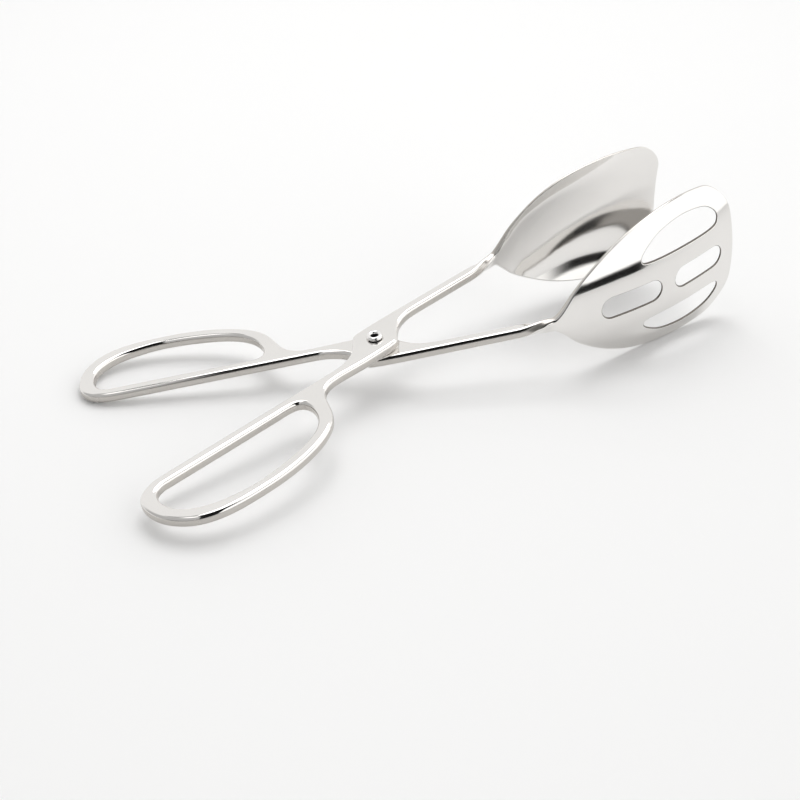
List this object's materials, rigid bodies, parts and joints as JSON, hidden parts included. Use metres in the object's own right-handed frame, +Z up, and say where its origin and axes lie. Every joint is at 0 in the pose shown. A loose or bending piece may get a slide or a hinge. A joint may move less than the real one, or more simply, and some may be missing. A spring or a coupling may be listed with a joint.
{
  "type": "scissor serving tongs",
  "caption": "Scissor-action steel serving tongs with closed finger loops, a solid spoon head and a slotted spoon head on a riveted pivot.",
  "frame": {"origin": "on the table, at the middle of the footprint of the tongs as they lie half open", "axes": "+X from the finger loops to the spoon heads, +Z up, the two arms mirror each other across Y = 0 in plan"},
  "size_m": [0.2626, 0.1198, 0.0667],
  "materials": {
    "arm_steel": "polished stainless steel, slightly satin on the flat faces",
    "rivet_steel": "bright rolled rim"
  },
  "bodies": {
    "lower_arm": {"lower_arm_slotted_spoon": "arm_steel"},
    "upper_arm": {"upper_arm_solid_spoon": "arm_steel", "pivot_rivet": "rivet_steel"}
  },
  "joints": [
    {"name": "pivot", "type": "hinge", "parent": "lower_arm", "child": "upper_arm", "pos_m": [-0.02407, 0, 0.01722], "axis": [-0.1208, 0, 0.9927], "range_deg": [-12, 20]}
  ]
}
